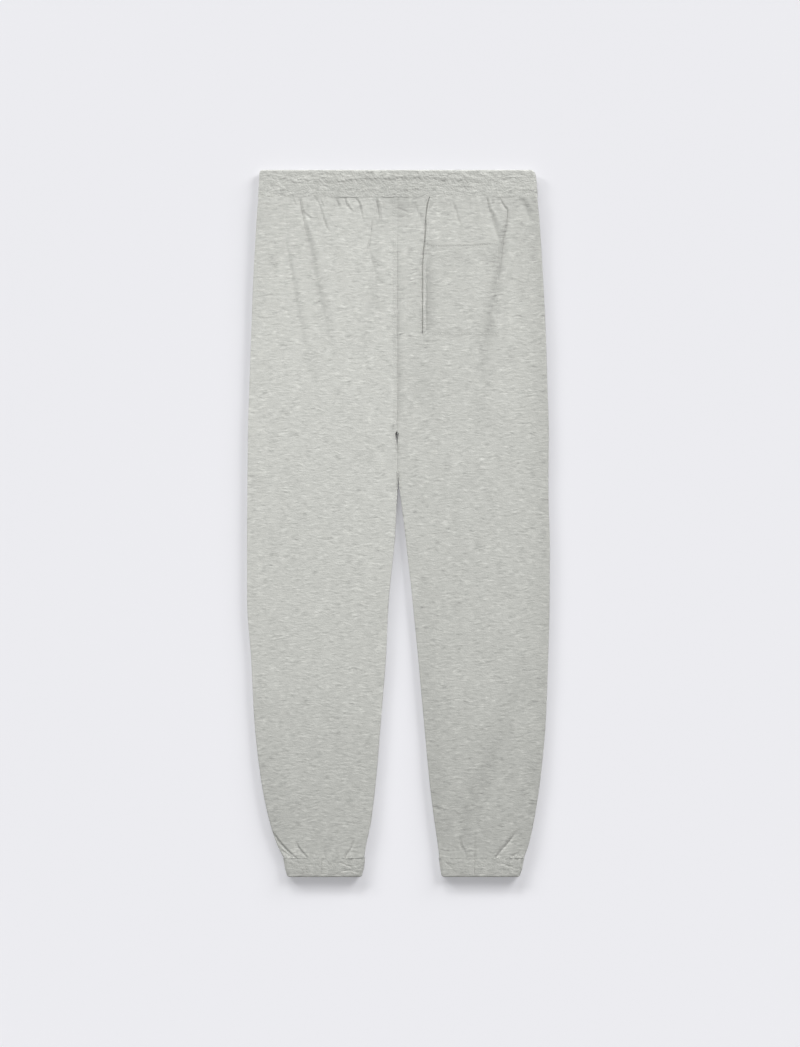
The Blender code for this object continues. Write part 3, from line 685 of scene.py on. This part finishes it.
def back_height(half, x, drop, reach, width):
    """Outer face of a back panel before its edges turn over."""
    seed = 10 if half == "left" else 20     # for the gathers; the swells run on across
    below, above = drop - WAIST_DROP, HEM_DROP - drop
    height = LIE_HEIGHT + WAIST_LIFT * np.exp(-below / WAIST_REACH)
    height += HEM_LIFT * bell(above, HEM_REACH)
    height += 0.35 * np.sin(x / 41.0 + drop / 150.0) * np.sin(drop / 97.0)
    for start, tall, longest, shortest, count in SWELLS:
        height += tall * soft_waves(start, x, drop, longest, shortest, count)
    # creases and gathers begin level with the waistband along its seam
    begins = ease(0.0, 6.0, below)
    height += 0.85 * begins * crease_relief(CREASES[half], x, drop)
    for start, count, lean, tall, fade, level in GATHERS:
        waves = gather_waves(seed + start, x - lean * below, count, *WAIST_SPAN[half])
        height += tall * begins * np.exp(-below / fade) * (waves - level)
    for far, places in HELD_DOWN:
        height -= far * ease(150.0, 50.0, drop) * plateau(places, x)
    hem = gather_waves(seed + 5, x, 17, *HEM_SPAN[half])
    height += 1.2 * np.exp(-above / 9.0) * hem
    lift = bell(width - reach, EDGE_REACH)
    lift += outline("turned", drop) * ease(450.0, 640.0, drop) * bell(reach, EDGE_REACH)
    height += EDGE_LIFT * np.minimum(1.0, lift)
    # the middle seam lies in a groove, down to the crotch and a little beyond
    seam = ease(377.0, 374.0, drop)
    groove = np.maximum(seam * ease(85.0, 130.0, drop), 0.8 * ease(398.0, 410.0, drop))
    groove = groove * ease(480.0, 456.0, drop)
    height -= 1.5 * groove * np.exp(-reach / 2.6)
    if half == "left":
        height += 0.3 * seam * ease(6.6, 4.2, reach)
    else:
        height += 0.35 * seam * bell(reach - 8.0, 5.0)
        # the cloth under the pocket stands up a little
        height += 0.9 * np.exp(-(((x - 92.0) / 62.0) ** 4) - (((drop - 175.0) / 105.0) ** 4))
        height += pocket_fold(x, drop)
    return np.maximum(height, LOWEST_TOP)


BACK_TURN = np.radians((-50, -25, 0, 15, 30, 45, 60, 75))
back_drops = stations((HEM_DROP - SHORT, 930, 33), (930, 500, 43), (500, 370, 38),
                      (370, 255, 23), (255, 110, 60), (110, WAIST_DROP + SHORT, 44))
BACK_COLUMNS = {
    "left": stations((0, 0.06, 10), (0.06, 1, 168)),
    "right": stations((0, 0.13, 16), (0.13, 0.235, 30), (0.235, 0.61, 50),
                      (0.61, 0.79, 50), (0.79, 1, 32)),
}
for half, colour in (("left", FLEECE_COLOUR), ("right", SHADED_RIGHT_COLOUR)):
    x, drop, reach, width, angle, on_middle = panel_places(
        half, BACK_COLUMNS[half], back_drops, BACK_ROLL, BACK_TURN, 0.0)
    top = back_height(half, x, drop, reach, width)
    turn = np.where(on_middle, outline("turned", drop), 1.0)
    over = top - WIDEST_UNDER * (1.0 - np.sin(angle))
    under = top - WIDEST_UNDER
    under = under + (under - SEAM_HEIGHT) * np.sin(angle) / math.sin(-BACK_TURN[0])
    z = top + (np.where(angle < 0.0, under, over) - top) * turn
    # the back panels carry painted shade towards the hem and in their creases
    back_finish = heather_fleece("back_fleece_" + half, colour, 0.85, 0.4, deeper=0.105,
                                 with_painted_shade=True)
    back = cloth_sheet("back_panel_" + half, back_finish, x, drop, z,
                       over_edges(x, z, angle), CLOTH, shade_painted=painted_crease_shade(x, drop))
    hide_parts("back_" + half)

# The seam allowance is stitched down beside the middle seam, in grey thread a shade
# lighter than the fleece; its short lockstitches sink into the cloth.
STITCH = 2.6
STITCH_PITCH = 3.5
THREAD = 0.28
THREAD_UP = 0.12  # how far the middle of a stitch stands above the cloth
THREAD_COLOUR = (0.55, 0.555, 0.53)
thread_finish, thread_tree, thread_shader = new_finish("grey_thread")
thread_place = add_node(thread_tree, "TexCoord").outputs["Object"]
thread_twist = add_node(thread_tree, "TexWave", {"Vector": thread_place, "Scale": 900.0},
                        bands_direction="DIAGONAL").outputs["Fac"]
thread_bump = add_node(thread_tree, "Bump", {
    "Height": thread_twist, "Strength": 0.4, "Distance": 0.0002}).outputs["Normal"]
set_inputs(thread_tree, thread_shader, {
    "Base Color": (*THREAD_COLOUR, 1.0), "Normal": thread_bump, "Roughness": 0.6,
    "Sheen Weight": 0.1})


def sewn(name, lines):
    """One object of thread: lockstitches along lines of points that lie on the cloth."""
    bm = bmesh.new()
    for line in lines:
        run = run_over(np.linalg.norm(np.diff(line, axis=0), axis=1))
        for k in range(int(run[-1] // STITCH_PITCH)):
            start = (k + 0.1) * STITCH_PITCH
            ends = [Vector([np.interp(s, run, line[:, c]) for c in range(3)])
                    for s in (start, start + STITCH)]
            middle = 0.5 * (ends[0] + ends[1]) + Vector((0.0, 0.0, THREAD_UP))
            turn = (ends[1] - ends[0]).normalized().to_track_quat("Y", "Z").to_matrix()
            size = Matrix.Diagonal((THREAD, 0.5 * STITCH, THREAD, 1.0))
            place = Matrix.Scale(MM, 4) @ Matrix.Translation(middle) @ turn.to_4x4() @ size
            bmesh.ops.create_icosphere(bm, subdivisions=1, radius=1.0, matrix=place)
    piece = as_object(name, bm, thread_finish)
    piece.data.shade_smooth()
    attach(piece, "root")
    return piece


drop = np.linspace(42.0, 372.0, 500)
x = np.full_like(drop, -6.3) + 0.25 * np.sin(drop / 13.0)
middle, outer = panel_edges("left", drop)
seam_line = on_cloth(x, drop, back_height("left", x, drop, middle - x, middle - outer))
seam_thread = sewn("back_seam_thread", [seam_line])

# ------------------------------
# The waistband.  A folded casing of the same fleece over wide elastic, sewn through
# round its length: a row below the ruffled heading, a row above the seam and the seam
# itself.  The elastic draws it up into fine uneven puckers.
WAISTBAND = (
    "drop upper lower pucker ruffle left right",
    (0, 9.2, 0.3, 0.15, 0.15, -199.2, 193.2),
    (3, 9.06, 0, 0.2, 0.2, -199.6, 196.2),
    (8, 8.9, 0, 0.28, 0.25, -199.9, 197.6),
    (12.6, 8.9, 0, 0.3, 0.25, -200.1, 198.2),
    (16, 8.9, 0, 0.22, 0.14, -200.3, 198.4),
    (21, 8.95, 0, 0.14, 0.1, -200.6, 198.8),
    (27.8, 8.92, 0, 0.16, 0.1, -200.9, 199.2),
    (30.3, 8.88, 0, 0.2, 0.14, -201.1, 199.5),
    (35.5, 8.78, 0, 0.14, 0.1, -201.4, 199.8),
    (39, 8.62, 0, 0.1, 0.08, -201.7, 200),
)
BAND_CLOTH = 1.1  # one layer of a casing, outside the sheet that band_sheet lays
CASING = 2.4
BAND_ROLL = 3.6
FOLD = 0.35  # how far the folded edge bulges
INSIDE_ROWS = 4  # rows of points past the fold, inside the casing
SHADED_BAND_COLOUR = (0.4215, 0.4250, 0.4012)  # painted shade: a shade darker than the leg fleece, for the shade of the puckered band

# Along the waistband: where the first stitched row runs below the folded edge, and how
# firmly the first row and the other two are drawn down.
ROWS = (
    "x drop first others",
    (-202, 12, 0.35, 0.10),
    (-170, 12.6, 0.35, 0.10),
    (-140, 15.4, 0.30, 0.15),
    (-101, 17.4, 0.75, 0.35),
    (-78, 15.8, 0.80, 0.55),
    (-58, 13.4, 0.85, 0.70),
    (-15, 12.6, 1.05, 1.00),
    (20, 11.6, 1.00, 0.75),
    (36, 11.4, 0.95, 0.50),
    (62, 13.4, 0.90, 0.20),
    (110, 15.6, 0.60, 0.10),
    (150, 13.6, 0.30, 0.10),
    (200, 10.5, 0.30, 0.15),
)
FIRST_ROW = 12.6  # the drop of the first row where the table above levels it
LEVEL_BELOW = 30.3  # from here to the seam the rows are level anyway
SEWN_ROWS = (FIRST_ROW, 28.6, 37.4)
# The cloth steps down at each row: the row's column above, its level, how far the cloth
# steps down, and over what length.
STEPS = (("first", 10.9, 1.65, 6.5), ("others", 26.8, 0.6, 3.6), ("others", 38.0, 0.1, 0.8))
rows_at = partial(read_table, ROWS)


def even_rows(x, drop):
    """The drop on a waistband whose first stitched row is level."""
    first = rows_at("drop", x)
    below = FIRST_ROW + (drop - first) * (LEVEL_BELOW - FIRST_ROW) / (LEVEL_BELOW - first)
    level = np.where(drop < first, drop * FIRST_ROW / first, below)
    return np.where(drop > LEVEL_BELOW, drop, level)


def row_steps(x, level):
    """How far the waistband's rows have brought its face down."""
    total = np.zeros_like(x)
    for kind, start, down, length in STEPS:
        past = np.maximum(level - start, 0.0)
        sunk = down * (1.0 - np.exp(-past / length))
        total += rows_at(kind, x) * sunk * ease(-0.2, 1.6, level - start)
    return total


def band_face(table, level, puckers, x, drop, span):
    """Height of a band's upper face, with its puckers: what the coarse ones are drawn
    from and how many there are, and the same for the fine ones."""
    seed, count, fine_seed, fine_count = puckers
    height, pucker, ruffle = read_table(table, "upper pucker ruffle", level)
    lean = 0.45 + 0.35 * np.sin(x / 23.0 + seed)
    if table is WAISTBAND:      # drawn up less towards its ends
        pucker = pucker * (1.0 - 0.5 * ease(60.0, 130.0, np.abs(x)))
    height += pucker * (gather_waves(seed, x - lean * drop, count, *span) - 0.5)
    fine = gather_waves(fine_seed, x + 0.3 * drop, fine_count, *span)
    fine += 0.5 * soft_waves(fine_seed, x, 2.0 * drop, 14.0, 6.0, 14)
    height += ruffle * (fine - 0.4)
    if table is WAISTBAND:      # with a slanting dent at each turn of the first row's thread
        dash = np.cos(2.0 * math.pi * (x - 0.9 * drop) / 6.8 + 1.6 * np.sin(x / 17.0))
        share = rows_at("first", x) * bell(level - 13.6, 2.6)
        return height - row_steps(x, level) - 0.34 * share * np.maximum(dash, -0.2)
    half = "left" if span[1] < 0.0 else "right"
    height += crease_relief(CUFF_WRINKLES[half], x, level)
    return height + 0.6 * crease_relief(CUFF_FOLDS[half], level, x, across=True)


def band_sheet(table, puckers, across, drops, insets, recess):
    """A flattened band: a closed loop of cloth folded over at its free edge.  It runs
    over the upper face, round the left end, back underneath and round the right end,
    with across as the number of steps over, round and underneath.  recess is how far
    the fold lies back underneath."""
    upper_count, side_count, lower_count = across
    drops, insets = drops[:, None], insets[:, None]
    left, right, lower = read_table(table, "left right lower", drops)
    lower = lower + BAND_CLOTH
    span = (float(left.min()), float(right.max()))
    start, end = left + BAND_ROLL, right - BAND_ROLL
    upper_x = end + (start - end) * np.linspace(0.0, 1.0, upper_count + 1)
    upper_drop = drops * np.ones_like(upper_x)
    level = even_rows(upper_x, upper_drop) if table is WAISTBAND else upper_drop
    flat = read_table(table, "upper", upper_drop)
    if table is WAISTBAND:
        flat = flat - row_steps(upper_x, level)
    face = band_face(table, level, puckers, upper_x, upper_drop, span)
    upper_z = flat + (face - flat) * ease(0.0, 7.0, np.minimum(upper_x - start, end - upper_x))
    lower_x = start + (end - start) * np.linspace(0.0, 1.0, lower_count + 1)
    lower_z = (lower + insets) * np.ones_like(lower_x)
    angles = np.linspace(0.0, math.pi, side_count + 1)[1:-1]
    deep = BAND_ROLL * (1.0 - 0.8 * insets / CASING)
    turns = []
    for edge_x, edge_z, way in ((start, flat[:, -1:], -1.0), (end, flat[:, :1], 1.0)):
        tall = 0.5 * (edge_z - lower) - insets
        turns.append((edge_x + way * deep * np.sin(angles),
                      0.5 * (edge_z + lower) - way * tall * np.cos(angles)))
    (left_x, left_z), (right_x, right_z) = turns
    x = np.concatenate((upper_x, left_x, lower_x, right_x, upper_x[:, :1]), axis=1)
    upper_z = upper_z - insets
    z = np.concatenate((upper_z, left_z, lower_z, right_z, upper_z[:, :1]), axis=1)
    arc = 0.5 - 0.5 * np.cos(angles)
    below = np.concatenate((np.zeros(upper_count + 1), arc, np.ones(lower_count + 1),
                            1.0 - arc, [0.0]))
    turned_back = drops[-INSIDE_ROWS - 1, 0]
    drop = drops + below * recess * ease(22.0, 0.0, np.abs(drops - turned_back))
    along = run_over(np.hypot(np.diff(x[0]), np.diff(z[0]))) * np.ones_like(x)
    return x, drop, z, along, drop + np.copysign(insets, turned_back - drops[0, 0])


def folded_rows(seam_drop, edge_drop, steps, inner):
    """Rows of a casing from its seam to its free edge, over it and back inside."""
    way = 1.0 if edge_drop > seam_drop else -1.0
    fold_start = edge_drop - way * FOLD
    outside = stations((seam_drop + way * SHORT, fold_start, steps))
    turn = np.linspace(0.0, math.pi, 9)
    inside = stations((fold_start, edge_drop - way * inner, INSIDE_ROWS))[1:]
    drops = np.concatenate((outside[:-1], fold_start + way * FOLD * np.sin(turn), inside))
    insets = np.concatenate((np.zeros(steps), 0.5 * CASING * (1.0 - np.cos(turn)),
                             np.full(INSIDE_ROWS, CASING)))
    return drops, insets


band_finish = heather_fleece("waistband_fleece", SHADED_BAND_COLOUR, 1.0, 0.55, crimp=3.2)
BAND_PUCKERS = (61, 58, 62, 104)
x, drop, z, along, down = band_sheet(
    WAISTBAND, BAND_PUCKERS, (420, 12, 60), *folded_rows(WAIST_DROP, BAND_CLOTH, 44, 14.0), 4.0)
waistband = cloth_sheet("waistband_casing", band_finish, x, drop, z, along, BAND_CLOTH,
                        closed=True, down=down)
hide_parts("waistband")

band_span = WAISTBAND[-1][-2:]
band_lines = []
for row_level in SEWN_ROWS:
    x = np.linspace(-195.0, 193.0, 400)
    drop = rows_at("drop", x) if row_level == FIRST_ROW else np.full_like(x, row_level)
    z = band_face(WAISTBAND, even_rows(x, drop), BAND_PUCKERS, x, drop, band_span)
    band_lines.append(on_cloth(x, drop, z))
band_thread = sewn("waistband_thread", band_lines)

# ------------------------------
# The cuffs.  Each is a folded casing over elastic, one stitched row at its seam with the
# leg; the elastic draws the wide leg in, and the casing puckers loosely.

# The columns are those of the waistband, and the two cuffs differ in their ends.
CUFF_FACE = (
    (992, 8.1, 0, 0.5, 0.2), (994.4, 8.2, 0, 0.7, 0.25), (997, 8.3, 0, 0.65, 0.25),
    (1008, 8.4, 0, 0.45, 0.2), (1016, 8.2, 0, 0.4, 0.2), (1020, 7.9, 0.2, 0.3, 0.15),
)
CUFF_ENDS = {
    "left": ((-165.2, -49.6), (-165, -49.6), (-164.4, -49.8), (-162.8, -50.8),
             (-160.6, -52.9), (-159.4, -53.8)),
    "right": ((59.3, 180.6), (59.4, 180.5), (60, 179.6), (61.2, 177.8), (62.7, 175.3),
              (63.4, 174.2)),
}
CUFF_PUCKERS = {"left": (71, 15, 72, 26), "right": (73, 15, 74, 26)}

# Wrinkles in the casings, as the creases above, and folds across them, where x and drop
# swap.
CUFF_WRINKLES = {
    "left": (
        (0.2, ((994, -110.4, 0, 0.7), (997, -110.6, 0.8, 0.7), (1012, -111, 0.8, 0.7),
            (1016, -111.2, 0, 0.7))),
    ),
    "right": (
        (0.2, ((993, 110, 0, 0.7), (996, 110.1, 1, 0.7), (1012, 109.6, 0.9, 0.7),
            (1017, 109.3, 0, 0.7))),
    ),
}
CUFF_FOLDS = {
    "left": (
        (0.3, ((-87, 999, 0, 0.8), (-82, 1000.2, 1, 0.8), (-73, 1003.4, 1.1, 0.8),
            (-66, 1006, 0, 0.8))),
        (0.3, ((-86, 1013.4, 0, 0.8), (-79, 1011.2, 0.9, 0.8), (-69, 1010.4, 1, 0.8),
            (-58, 1013.6, 0, 0.8))),
        (0.2, ((-150, 1000.2, 0, 0.8), (-141, 1001, 0.6, 0.8), (-131, 1000.2, 0, 0.8))),
    ),
    "right": (
        (0.3, ((61, 996.6, 0, 0.8), (67, 998.6, 1, 0.8), (74, 1003.8, 1, 0.8),
            (81, 1009.8, 0, 0.8))),
        (0.3, ((138, 999.4, 0, 0.9), (148, 1000.6, 0.9, 0.9), (160, 1004, 1, 0.9),
            (176, 1009.6, 0, 0.9))),
        (0.2, ((143, 1010.8, 0, 0.8), (151, 1009.4, 0.6, 0.8), (162, 1011.2, 0, 0.8))),
    ),
}

cuff_finish = heather_fleece("cuff_fleece", SHADED_BAND_COLOUR, 0.9, 0.5, crimp=2.4)
for half, flat in (("left", (0.27, 0.04)), ("right", (0.28, 0.04))):
    table = [WAISTBAND[0]] + [face + ends for face, ends in zip(CUFF_FACE, CUFF_ENDS[half])]
    fields = band_sheet(table, CUFF_PUCKERS[half], (120, 12, 30),
                        *folded_rows(HEM_DROP, LENGTH - BAND_CLOTH, 28, 9.0), -2.5)
    x, drop, z, along, down = (field[:, ::-1] for field in fields)
    cuff = cloth_sheet("cuff_casing_" + half, cuff_finish, x, drop, z, along, BAND_CLOTH,
                       closed=True, down=down)
    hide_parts("cuff_" + half)
    low, high = CUFF_ENDS[half][0]
    x = np.linspace(low + 6.0, high - 6.0, 200)
    drop = 994.6 + 0.2 * np.sin(x / 6.0)
    z = band_face(table, drop, CUFF_PUCKERS[half], x, drop, (low, high))
    cuff_thread = sewn("cuff_thread_" + half, [on_cloth(x, drop, z)])

# ------------------------------
# The back pocket.  One patch of the same fleece, its mouth turned in and stitched just
# below the edge, its other three edges turned in and sewn down flat on the panel.
POCKET_TOP = 104.6
POCKET_BOTTOM = 239.0
POCKET_SIDE = 146.0
POCKET_CLOTH = 0.25  # thin, as the patch lies close on its panel
POCKET_NEAR = 0.9  # how far its near edge lies beyond the fold's line
SEWN_IN = 2.6  # how far its stitches lie in from its edges
POCKET_MOUTH = ("x drop", (30, 105.6), (42, 106), (60, 107.5), (103, 106.8),
                (125, 104.8), (150, 102.4))
pocket_mouth = partial(read_table, POCKET_MOUTH, "drop")


def pocket_edge(down):
    """The pocket's near edge, at drops on its pattern."""
    return read_table(POCKET_FOLD, "x", down) + POCKET_NEAR


def over_pocket(x, down, drop):
    """Height of the pocket's face: nearly flush with the panel where it is sewn down."""
    from_mouth = down - POCKET_TOP
    sides = np.minimum(x - pocket_edge(down), POCKET_SIDE - x)
    rim = np.minimum(sides, POCKET_BOTTOM - down)
    lift = 0.06 + 0.44 * ease(0.0, 10.0, rim)
    lift += 0.45 * ease(30.0, 10.0, from_mouth) * ease(0.0, 8.0, rim)
    lift += 0.25 * ease(6.0, 0.0, from_mouth) * ease(0.0, 4.0, sides)
    lift -= 0.2 * bell(from_mouth - 2.8, 1.0) * ease(0.0, 4.0, sides)
    middle, outer = panel_edges("right", drop)
    return lift + back_height("right", x, drop, x - middle, outer - middle)


pocket_drops = stations((POCKET_BOTTOM, POCKET_BOTTOM - 5.0, 6),
                        (POCKET_BOTTOM - 5.0, POCKET_TOP + 6.0, 70),
                        (POCKET_TOP + 6.0, POCKET_TOP, 12))
pocket_shares = stations((0, 0.12, 26), (0.12, 0.94, 72), (0.94, 1, 10))
down = pocket_drops[:, None] * np.ones(len(pocket_shares))
x = pocket_edge(down) + (POCKET_SIDE - pocket_edge(down)) * pocket_shares
drop = down + (pocket_mouth(x) - POCKET_TOP) * ease(POCKET_TOP + 60.0, POCKET_TOP, down)
# painted shade in creases, as on the panel below
pocket_finish = heather_fleece("pocket_fleece", SHADED_RIGHT_COLOUR, 0.85, 0.4, with_painted_shade=True)
pocket = cloth_sheet("pocket_patch", pocket_finish, x, drop, over_pocket(x, down, drop), x,
                     POCKET_CLOTH, shade_painted=painted_crease_shade(x, drop))
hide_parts("back_pocket")

side_down = np.linspace(POCKET_TOP + 1.0, POCKET_BOTTOM - 3.0, 240)
along_x = np.linspace(41.0, POCKET_SIDE - SEWN_IN, 240)
pocket_lines = []
for x, down, drop in (
        (np.full_like(side_down, POCKET_SIDE - SEWN_IN), side_down, side_down),
        (along_x[::-1], POCKET_BOTTOM - SEWN_IN, POCKET_BOTTOM - SEWN_IN),
        (along_x, POCKET_TOP + SEWN_IN, pocket_mouth(along_x) + SEWN_IN)):
    down, drop = down + 0.0 * x, drop + 0.0 * x     # one value for each point
    pocket_lines.append(on_cloth(x, drop, over_pocket(x, down, drop)))
pocket_thread = sewn("pocket_thread", pocket_lines)
